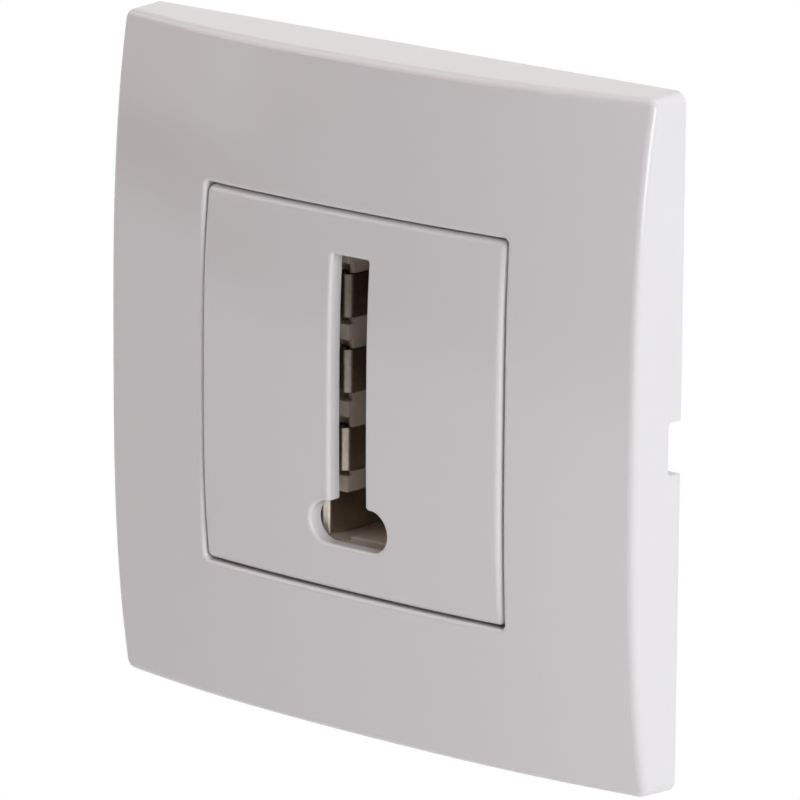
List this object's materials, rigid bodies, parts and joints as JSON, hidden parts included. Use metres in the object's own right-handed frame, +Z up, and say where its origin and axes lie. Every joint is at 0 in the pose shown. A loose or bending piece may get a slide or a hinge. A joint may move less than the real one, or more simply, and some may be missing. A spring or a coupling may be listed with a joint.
{
  "type": "telephone wall socket",
  "caption": "Flush wall socket with a crowned square plate, a T-shaped plug slot, sprung contacts each side of it, and screw terminals at the rear.",
  "frame": {"origin": "centre of the plane where the plate's rim and the support frame meet the wall, midway between the box-screw slots", "axes": "+X to the right seen from the room, +Y into the wall, +Z up"},
  "size_m": [0.08, 0.0288, 0.08],
  "materials": {
    "gloss_white": "glossy moulded white plastic",
    "housing_plastic": "matt moulded light grey plastic",
    "nickel_silver": "rolled nickel silver strip, satin",
    "terminal_brass": "machined brass",
    "screw_steel": "zinc-plated steel",
    "zinc_steel": "zinc-plated pressed steel"
  },
  "bodies": {
    "socket": {"cover_plate": "gloss_white", "centre_cover": "gloss_white", "contact_housing": "housing_plastic", "rear_cap": "housing_plastic", "support_frame": "zinc_steel", "terminal_1": "terminal_brass", "terminal_screw_1": "screw_steel", "terminal_2": "terminal_brass", "terminal_screw_2": "screw_steel", "terminal_3": "terminal_brass", "terminal_screw_3": "screw_steel", "terminal_4": "terminal_brass", "terminal_screw_4": "screw_steel", "terminal_5": "terminal_brass", "terminal_screw_5": "screw_steel", "terminal_6": "terminal_brass", "terminal_screw_6": "screw_steel", "terminal_7": "terminal_brass", "terminal_screw_7": "screw_steel", "terminal_8": "terminal_brass", "terminal_screw_8": "screw_steel"},
    "contact_1": {"contact_1": "nickel_silver"},
    "contact_2": {"contact_2": "nickel_silver"},
    "contact_3": {"contact_3": "nickel_silver"},
    "contact_4": {"contact_4": "nickel_silver"},
    "contact_5": {"contact_5": "nickel_silver"},
    "contact_6": {"contact_6": "nickel_silver"},
    "contact_7": {"contact_7": "nickel_silver"},
    "contact_8": {"contact_8": "nickel_silver"}
  },
  "joints": [
    {"name": "contact_1_flex", "type": "hinge", "parent": "socket", "child": "contact_1", "pos_m": [0.0044, 0.0086, 0.01164], "axis": [0, 0, 1], "range_deg": [0, 2.5], "stiffness_Nm_per_rad": 0.18},
    {"name": "contact_2_flex", "type": "hinge", "parent": "socket", "child": "contact_2", "pos_m": [0.0044, 0.0086, 0.00285], "axis": [0, 0, 1], "range_deg": [0, 2.5], "stiffness_Nm_per_rad": 0.18},
    {"name": "contact_3_flex", "type": "hinge", "parent": "socket", "child": "contact_3", "pos_m": [0.00473, 0.0086, -0.00635], "axis": [0, 0, 1], "range_deg": [0, 2.5], "stiffness_Nm_per_rad": 0.18},
    {"name": "contact_4_flex", "type": "hinge", "parent": "socket", "child": "contact_4", "pos_m": [0.0076, 0.0086, -0.0143], "axis": [0, 0, 1], "range_deg": [0, 2.5], "stiffness_Nm_per_rad": 0.18},
    {"name": "contact_5_flex", "type": "hinge", "parent": "socket", "child": "contact_5", "pos_m": [-0.0034, 0.0086, 0.01164], "axis": [0, 0, -1], "range_deg": [0, 2.5], "stiffness_Nm_per_rad": 0.18},
    {"name": "contact_6_flex", "type": "hinge", "parent": "socket", "child": "contact_6", "pos_m": [-0.0034, 0.0086, 0.00285], "axis": [0, 0, -1], "range_deg": [0, 2.5], "stiffness_Nm_per_rad": 0.18},
    {"name": "contact_7_flex", "type": "hinge", "parent": "socket", "child": "contact_7", "pos_m": [-0.00373, 0.0086, -0.00635], "axis": [0, 0, -1], "range_deg": [0, 2.5], "stiffness_Nm_per_rad": 0.18},
    {"name": "contact_8_flex", "type": "hinge", "parent": "socket", "child": "contact_8", "pos_m": [-0.0066, 0.0086, -0.0143], "axis": [0, 0, -1], "range_deg": [0, 2.5], "stiffness_Nm_per_rad": 0.18}
  ]
}
